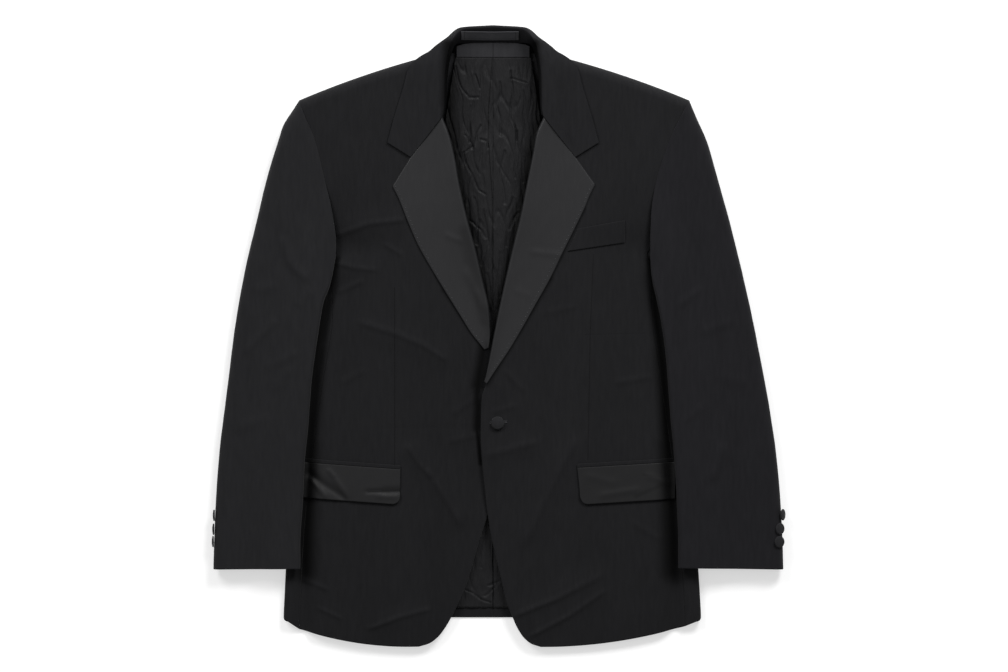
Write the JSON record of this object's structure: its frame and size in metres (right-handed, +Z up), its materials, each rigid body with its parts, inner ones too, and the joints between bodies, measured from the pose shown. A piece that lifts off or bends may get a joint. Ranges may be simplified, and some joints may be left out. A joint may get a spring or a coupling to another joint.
{
  "type": "tuxedo jacket",
  "caption": "Single-breasted dinner jacket laid flat and buttoned, with satin notch lapels, satin pocket flaps, a breast welt and long buttoned sleeves.",
  "frame": {"origin": "middle of the jacket's outline, on the surface that it lies on", "axes": "+X towards the wearer's left, +Y from the hem towards the collar, +Z up from the surface"},
  "size_m": [0.7488, 0.807, 0.045],
  "materials": {
    "wool": "matt black worsted wool in a fine twill",
    "lapel_satin": "smooth black satin with a soft sheen",
    "flap_satin": "black satin, softly wrinkled",
    "lining": "black crinkled lining satin",
    "button_cloth": "buttons covered with black cloth"
  },
  "bodies": {
    "root": {"back_left": "wool", "back_right": "wool", "breast_welt": "wool", "collar": "wool", "front_left": "wool", "front_right": "wool", "hanger_loop": "wool", "jet_left": "wool", "jet_right": "wool", "neck_facing": "wool", "side_panel_left": "wool", "side_panel_right": "wool", "top_sleeve_left": "wool", "top_sleeve_right": "wool", "under_sleeve_left": "wool", "under_sleeve_right": "wool", "lapel_left": "lapel_satin", "lapel_right": "lapel_satin", "flap_left": "flap_satin", "flap_right": "flap_satin", "lining_left": "lining", "lining_right": "lining", "button_front": "button_cloth", "cuff_button_left_1": "button_cloth", "cuff_button_left_2": "button_cloth", "cuff_button_left_3": "button_cloth", "cuff_button_right_1": "button_cloth", "cuff_button_right_2": "button_cloth", "cuff_button_right_3": "button_cloth"}
  },
  "joints": []
}
